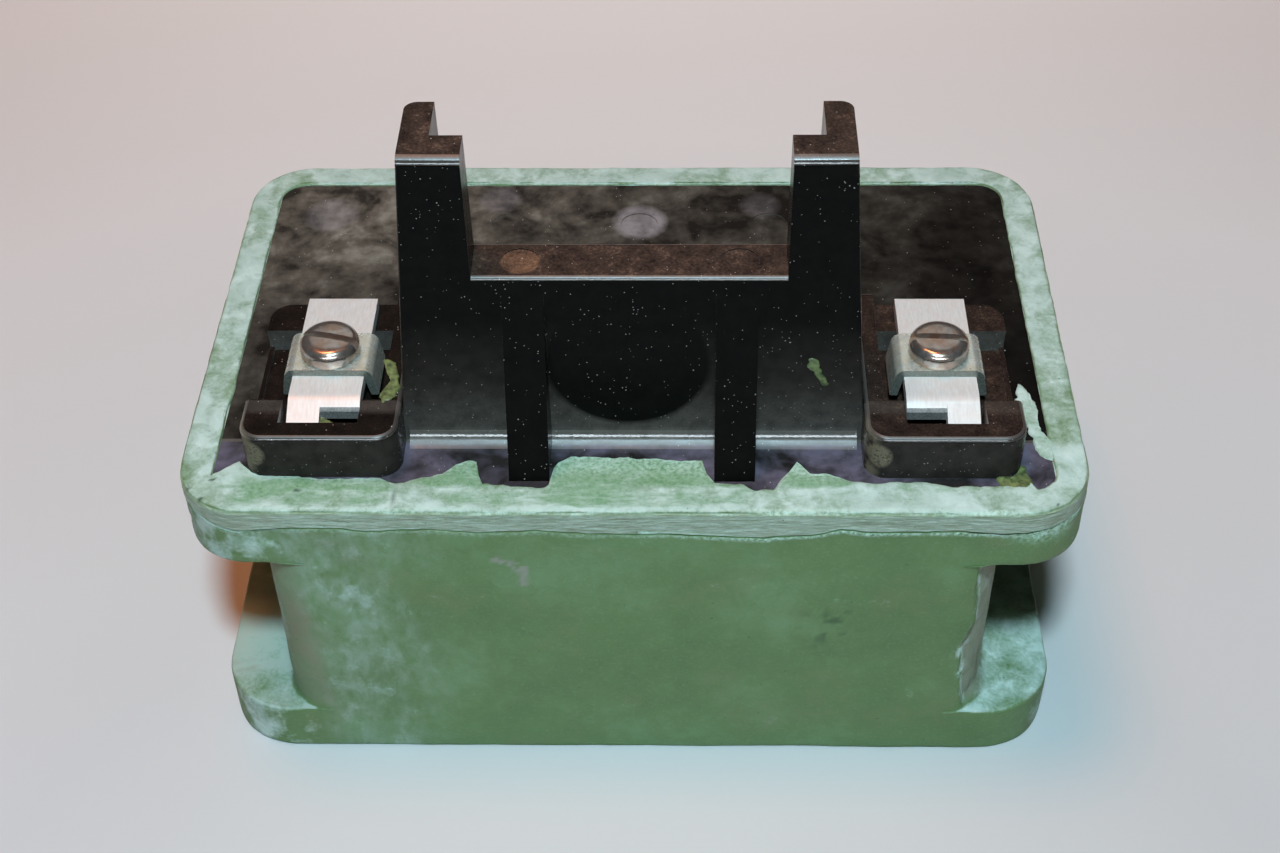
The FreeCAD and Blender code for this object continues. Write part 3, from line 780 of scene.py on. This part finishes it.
def paint_collar(obj):
    points, facing = places_and_normals(obj)
    x, y, z = points.T
    up = smooth(0.5, 0.85, facing[:, 2])
    side = 1 - up
    slow = clouds(points, 10, 4, seed=50)
    quick = clouds(points, 2.4, 4, seed=51)
    in_front = smooth(-29, -33, y)
    chalk = up * (0.74 + 0.3 * slow)
    green_share = np.interp(x, [-57, -53, -49, -34, -31.5, -31, -27, -22, 8, 15, 22, 30, 50],
                            [0, 0.45, 0.85, 0.8, 0.7, 0.05, 0.15, 0.75, 0.65, 0.4, 0.25, 0.15, 0.05])
    clean = green_share * in_front * smooth(-37, -35.2, y + 0.35 * quick) * (0.8 + 0.7 * slow)
    tongue = smooth(-33.6, -31.6, y) * (y < -20) * smooth(30, 27, np.abs(x))
    wet = up * np.maximum(clean, tongue * (0.95 + 0.5 * quick))
    rim_line = smooth(-34.2, -32.4, y) * in_front * smooth(30, 33, np.abs(x)) * (np.abs(x) < 51)
    wet += up * rim_line * (0.35 + 0.4 * quick)
    right_line = smooth(1.2, 0.2, np.abs(np.abs(x) - board_half)) * up * smooth(-29, -27, y)
    wet += right_line * np.where(x > 0, 0.5, 0.15) * (0.6 + 0.8 * quick)
    band = side * smooth(collar_top - 0.1, collar_top - 0.9, z)
    # Painted highlights: pale lines along the top's front edge and along the resin's edge where it meets
    # the board.
    edge = up * smooth(-36.2, -37, y) * 0.9 + up * smooth(plate_top + 0.35, plate_top + 0.05, z) * 0.8
    grime = side * (0.3 + 0.5 * slow) * smooth(44, 54, np.abs(x)) + side * 0.25 * smooth(0.1, 0.5, quick)
    grime += 0.35 * up * smooth(0.3, 0.6, clouds(points, 6, 4, seed=52)) * smooth(-36.6, -37.2, y)
    chips = [(-57.8, -33, 0.5, 1), (-55.9, -35, 0.6, 0.5), (-54.9, -31.6, 0.7, 0.4),
             (-55.6, -36.3, 0.7, 0.35), (54.6, -35.6, 0.5, 0.3), (-43.6, -33.4, 0.8, 0.35)]
    dark = sum(spot(points, (cx, cy, collar_top), (wide, deep, 2)) for cx, cy, wide, deep in chips)
    dark = smooth(0.3, 0.8, dark * (1 + 0.5 * quick)) + 0.7 * hairline(points, 0.16) * up * (y < -32)
    set_masks(obj, chalk=chalk + 0.25 * side, wet=wet, band=band, lip=edge, grime=grime, dark=dark)


collar = loft("poured_epoxy_collar", collar_rings(), closed=True)
relief_collar(collar)
paint_collar(collar)
piece(collar, [epoxy], ["encapsulation_collar"])


# ---- the terminal board ----

board = bpy.data.objects.new("moulded_terminal_board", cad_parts["terminal_board"].data.copy())
board.data.materials.clear()
bpy.context.scene.collection.objects.link(board)
round_edges(board, 0.22, slope_material=2)
piece(board, [phenolic, phenolic_edge, phenolic_curve], ["terminal_board"],
      sharp=50, flats=True)


# ---- spilt resin ----

def smooth_loop(points, steps=10):
    """A closed curve through the points."""
    points = np.array(points, float)
    t = np.linspace(0, 1, steps, endpoint=False)[:, None]
    made = []
    for i in range(len(points)):
        before, start, end, after = (points[(i + k) % len(points)] for k in (-1, 0, 1, 2))
        bend = 2 * before - 5 * start + 4 * end - after
        twist = 3 * start - before - 3 * end + after
        made.append(0.5 * (2 * start + (end - before) * t + bend * t ** 2 + twist * t ** 3))
    return np.concatenate(made)


def smear(name, points, origin, height, seed, along=(0, 1, 0)):
    """A thin patch of resin on a flat face, rounded over at its edge; points run along X and along."""
    across = (1, 0, 0)
    out = np.cross(across, along)
    edge = smooth_loop(points)
    edge += 0.3 * np.column_stack([clouds(ring(edge, 0), 0.8, 4, seed=seed + k) for k in (0, 7)])
    centre = edge.mean(axis=0)
    rings = []
    for size, level in ((1, -0.05), (0.985, 0.35), (0.94, 0.7), (0.84, 0.92), (0.6, 1), (0.3, 1)):
        flat = centre + (edge - centre) * size
        lift = height * level * (1 + 0.3 * clouds(ring(flat, 0), 1.2, 3, seed=seed + 3))
        rings.append(np.array(origin) + flat[:, :1] * across + flat[:, 1:] * along + lift[:, None] * out)
    return loft(name, rings)


smears = [
    ("resin_on_left_pad", [(-33.5, -15.5), (-31.9, -16.3), (-30.9, -20.5), (-31.4, -23), (-32.7, -23.8),
                           (-33.2, -22.6), (-32, -20.5), (-32.2, -18)],
     (0, 0, pad_top), 0.25, 60),
    ("resin_on_right_arm", [(22.9, 63.9), (23.9, 63.5), (24.3, 61.8), (25.5, 59.5), (24.7, 59.2),
                            (23.6, 61.4), (22.7, 62.5)],
     (0, wall_front, 0), 0.22, 70, (0, 0, 1)),
    ("resin_in_left_pocket", [(-41, -27.3), (-39.4, -27.3), (-38.9, -26.2), (-39.9, -25.2), (-41, -24.6)],
     (0, 0, 53.2), 1.6, 65),
    ("resin_at_right_pad", [(47.6, -30.4), (49.2, -30.9), (50.3, -29.6), (51.2, -28.2), (51.6, -29.6),
                            (52, -32), (50, -32.6), (48, -32.1)],
     (0, 0, plate_top), 0.4, 80),
]
for smear_facts in smears:
    piece(smear(*smear_facts), [resin])

flap = smear("resin_flap_right", [(52.6, -12.4), (52, -15.6), (52.4, -19), (52.9, -22.6), (53.8, -26.4),
                                  (55.6, -27.4), (56.4, -26), (54.9, -24.4), (54.4, -20.5), (54.2, -16)],
             (0, 0, plate_top), 0.36, 90)
set_masks(flap, chalk=0.75, wet=0.25, lip=0.1)
piece(flap, [epoxy])


# ---- one terminal ----

def arc(centre, radius, start, end, steps=6):
    """Points on an arc, from the start angle to the end angle in degrees."""
    angles = np.radians(np.linspace(start, end, steps))
    return [(centre[0] + radius * math.cos(a), centre[1] + radius * math.sin(a)) for a in angles]


def prism(name, points, axis, start, end):
    """Extrude a closed outline along X (points are y, z) or along Y (points are x, z)."""
    return loft(name, [np.insert(np.array(points, float), axis, level, axis=1) for level in (start, end)])


def round_ring(radius, z, steps=64):
    """A circle about the screw's axis; radius may be one number or one per point."""
    turns = np.linspace(0, 2 * math.pi, steps, endpoint=False)
    return np.column_stack([radius * np.cos(turns), radius * np.sin(turns), np.full(steps, z)])


def drill(obj, axis_x):
    """The screw's clearance hole, right through."""
    hole_radius, hole_bottom, hole_top = 2.13, 50, 60
    hole = [round_ring(hole_radius, z, 48) + (axis_x, terminal_y, 0) for z in (hole_bottom, hole_top)]
    cut(obj, loft("drill", hole))


def terminal_strip(side, sign):
    """Flat strip sheared from sheet, with a narrow tab bent down into the pocket."""
    low, high = node_box(f"terminal_strip_{side}")
    top, thick = high[2], 1.6
    fold, lip, tab_front, knee = -21.9, -23.4, low[1], 52.3
    slope = math.atan2(top - knee, fold - tab_front)
    bend = 2.6
    reach = bend * math.tan(slope / 2)
    degrees = math.degrees(slope)
    turn = (fold + reach, top - bend)
    arc_top = arc(turn, bend, 90, 90 + degrees)
    arc_low = arc(turn, bend - thick, 90 + degrees, 90)

    def sloped(y):
        """Height of the sloping top surface at y."""
        return top - (fold - y) * math.tan(slope)

    nose = [(lip + 0.25, sloped(lip + 0.25)), (lip - 0.05, sloped(lip - 0.05) - 0.35),
            (lip + 0.05, sloped(lip) - thick / math.cos(slope) + 0.1)]
    flat = [(high[1], top)] + arc_top + nose + arc_low + [(high[1], top - thick)]
    strip = prism(f"sheared_strip_{side}", flat, 0, low[0], high[0])
    shin = arc((tab_front + 1.6, knee - 0.4), 1.6, 130, 180, 5)
    calf = [(tab_front, low[2]), (tab_front + thick, low[2]), (tab_front + thick, knee - 1)]
    tab_width = 4.3
    tab_low = low[0] if sign < 0 else high[0] - tab_width
    tab = [(fold + 1, top - 0.02)] + [(y, z - 0.02) for y, z in arc_top[1:]] + shin + calf
    tab += [(fold + 0.6, top - thick + 0.05)]
    cut(strip, prism("tab", tab, 0, tab_low, tab_low + tab_width), "UNION")
    drill(strip, sign * terminal_x)
    round_edges(strip, 0.13)
    # The nose's end face takes the darker copy, partly as painted shade under the bend.
    for face in strip.data.polygons:
        if face.normal.y < -0.8 and face.center.y > (lip - 1) * MM:
            face.material_index = 1
    piece(strip, [strip_metal, strip_cut_and_shade], [f"terminal_strip_{side}"],
          sharp=35, flats=True)


def saddle_clamp(side, sign):
    """Plate bent down over both edges of the strip."""
    low, high = node_box(f"saddle_clamp_{side}")
    middle = (low[0] + high[0]) / 2
    plate, foot = 1.1, (high[0] - low[0]) / 2
    top_half = foot - 0.6
    lean = math.degrees(math.atan2(foot - top_half, high[2] - low[2]))
    outer_bend, inner_bend = 1.5, 0.45
    corner_x, corner_z = top_half - outer_bend + 0.1, high[2] - outer_bend
    right = arc((corner_x, corner_z), outer_bend, 90, lean, 7)
    right += [(foot, low[2] + 0.2), (foot - 0.15, low[2]), (foot - plate, low[2])]
    inside = arc((top_half - plate - inner_bend, high[2] - plate - inner_bend), inner_bend, lean, 90, 4)
    half = right + inside
    shape = [(middle + u, z) for u, z in half] + [(middle - u, z) for u, z in half[::-1]]
    clamp = prism(f"bent_saddle_{side}", shape, 1, low[1], high[1])
    drill(clamp, sign * terminal_x)
    round_edges(clamp, 0.16)
    # Faces towards front and back take the darker copy: cut ends, partly painted shade.
    for face in clamp.data.polygons:
        face.material_index = int(abs(face.normal.y) > 0.8)
    piece(clamp, [zinc, zinc_cut_and_shade], [f"saddle_clamp_{side}"], f"saddle_{side}",
          sharp=35, flats=True)


def shank_rings(start, stop, pitch=0.79375, root=1.62, crest=2.05, steps=64):
    """The threaded shank, its thread made by letting the radius follow the turn."""
    turns = np.arange(steps) / steps
    rings = []
    for z in np.arange(start, stop, pitch / 8):
        phase = (z / pitch - turns) % 1
        thread = (crest - root) * (1 - np.abs(2 * phase - 1)) ** 0.8
        fade = smooth(start, start + 0.5, z) * smooth(stop, stop - 0.5, z)
        rings.append(round_ring(root + thread * fade, z))
    return rings


def terminal_screw(side, sign, slot_turn):
    """Slotted pan head machine screw with a real helical thread."""
    low, high = node_box(f"terminal_screw_{side}")
    tip, top = low[2], high[2]
    under = node_box(f"saddle_clamp_{side}")[1][2]
    head, crown, rise = (high[0] - low[0]) / 2, 1.25, 0.12
    profile = [(1.75, under - 0.4), (1.9, under), (head - 0.35, under), (head - 0.1, under + 0.12),
               (head, under + 0.4), (head - 0.02, top - crown - rise)]
    profile += [(head - 0.02 - crown * (1 - math.cos(a)), top - crown - rise + crown * math.sin(a))
                for a in np.radians([12, 25, 38, 50, 62, 73])]
    profile += [((head - crown) * share, top - rise * share ** 2) for share in (0.86, 0.65, 0.4, 0.15)]
    rings = [round_ring(1.3, tip), round_ring(1.45, tip + 0.1)] + shank_rings(tip + 0.5, under - 0.8)
    rings += [round_ring(radius, z) for radius, z in profile]
    axis = (sign * terminal_x, terminal_y, 0)
    screw = loft(f"pan_head_screw_{side}", [level + axis for level in rings])
    slot_reach, slot_half, slot_depth = 6, 0.55, 1.3
    turn = math.radians(slot_turn)
    along = np.array([math.cos(turn), math.sin(turn)]) * slot_reach
    across = np.array([-math.sin(turn), math.cos(turn)]) * slot_half
    corners = np.array([-along - across, along - across, along + across, across - along])
    cut(screw, loft("slot", [ring(corners, z) + axis for z in (top - slot_depth, top + 1)]))
    piece(screw, [screw_zinc], [f"terminal_screw_{side}"], f"screw_{side}", sharp=38)


for side, sign, slot_turn in (("left", -1, -13), ("right", 1, -3)):
    terminal_strip(side, sign)
    saddle_clamp(side, sign)
    terminal_screw(side, sign, slot_turn)


# ---- the pieces that keep their CAD shape ----

inner_finishes = (
    (fibre, "core_tube"), (washer_board, "bottom_washer top_washer"), (tape, "outer_tape_wrap"),
    (paper, "ground_insulation layer_wrap_inner layer_wrap_outer"),
    (copper, "winding_inner winding_middle winding_outer"),
    (wire_metal, "start_lead finish_lead"), (sleeve, "start_lead_sleeve finish_lead_sleeve"),
    (solder, "solder_joint_left solder_joint_right"),
    (brass, "threaded_insert_left threaded_insert_right"),
)
for material, nodes in inner_finishes:
    for node in nodes.split():
        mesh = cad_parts[node].data
        mesh.materials.clear()
        mesh.materials.append(material)


# ---- floor, light and camera ----

def floor_material():
    s = Shader("pale_floor", {"Specular IOR Level": 0.3})
    wide = s.noise(180, 3, seed=41)
    colour = s.ramp(wide, (0.3, (212, 211, 211)), (0.7, (220, 219, 220)))
    # Painted light: the floor is paler further from the object's front, evening out the key light's
    # fall-off.
    colour = s.mix((242, 242, 242), colour, s.near((0, -90, 0), 95, 110))
    return s.finish(colour, s.levels(wide, 0.3, 0.7, 0.5, 0.6))


def add_light(name, kind, place, target, power, colour):
    data = bpy.data.lights.new(name, kind)
    data.energy, data.color = power, colour
    light = bpy.data.objects.new(name, data)
    light.location = place
    light.rotation_euler = (Vector(target) - Vector(place)).to_track_quat("-Z", "Y").to_euler()
    bpy.context.scene.collection.objects.link(light)
    return light


def area_light(name, place, target, size, power, colour, glossy_only=False):
    """An oval light; one that is glossy_only shows in reflections and lights nothing else."""
    light = add_light(name, "AREA", place, target, power, colour)
    light.data.shape = "ELLIPSE"
    light.data.size, light.data.size_y = size
    light.visible_diffuse = not glossy_only
    light.visible_camera = False


def camera():
    """The viewpoint: above the front, looking down at about 44 degrees, with a slight roll."""
    tilt, turn, roll = (Matrix.Rotation(math.radians(degrees), 4, axis)
                        for degrees, axis in ((90 - 43.89, "X"), (1.818, "Z"), (-1.155, "Z")))
    data = bpy.data.cameras.new("camera")
    data.lens = 53.17
    data.sensor_width = 36
    data.clip_start = 0.01
    obj = bpy.data.objects.new("camera", data)
    obj.matrix_world = Matrix.Translation((0.0067, -0.204, 0.2254)) @ turn @ tilt @ roll
    bpy.context.scene.collection.objects.link(obj)
    bpy.context.scene.camera = obj


def world_light():
    world = bpy.data.worlds.new("soft_room")
    world.use_nodes = True
    background = world.node_tree.nodes["Background"]
    background.inputs["Color"].default_value = (0.95, 0.93, 0.92, 1)
    background.inputs["Strength"].default_value = 0.01
    bpy.context.scene.world = world


reach = 4000
corners = [(-reach, -reach, 0), (reach, -reach, 0), (reach, reach, 0), (-reach, reach, 0)]
floor = mesh_object("floor", corners, [(0, 1, 2, 3)])
floor.data.materials.append(floor_material())

world_light()
area_light("key_light", (0.005, -0.23, 0.43), (0, 0.02, 0.02), (0.05, 0.05), 2.05, (0.61, 0.88, 1))
area_light("overhead_light", (-0.15, 0.05, 0.9), (0, 0, 0), (0.3, 0.3), 2.6, (1, 0.35, 0.14))
area_light("front_window", (0, -0.5, 0.25), (0, 0, 0.05), (0.5, 0.09), 1.3, (0.8, 0.92, 1), True)
area_light("rear_screen", (0, 0.8, 0.85), (0, 0, 0.05), (0.9, 0.6), 0.65, (1, 0.95, 0.9), True)
backdrop = add_light("background_light", "SPOT", (0.1, 0.5, 1.15), (0, 0.55, 0), 40, (1, 0.95, 0.9))
backdrop.data.spot_size = math.radians(46)
backdrop.data.spot_blend = 1
backdrop.data.shadow_soft_size = 0.1
camera()
bpy.context.scene.view_settings.view_transform = "Standard"
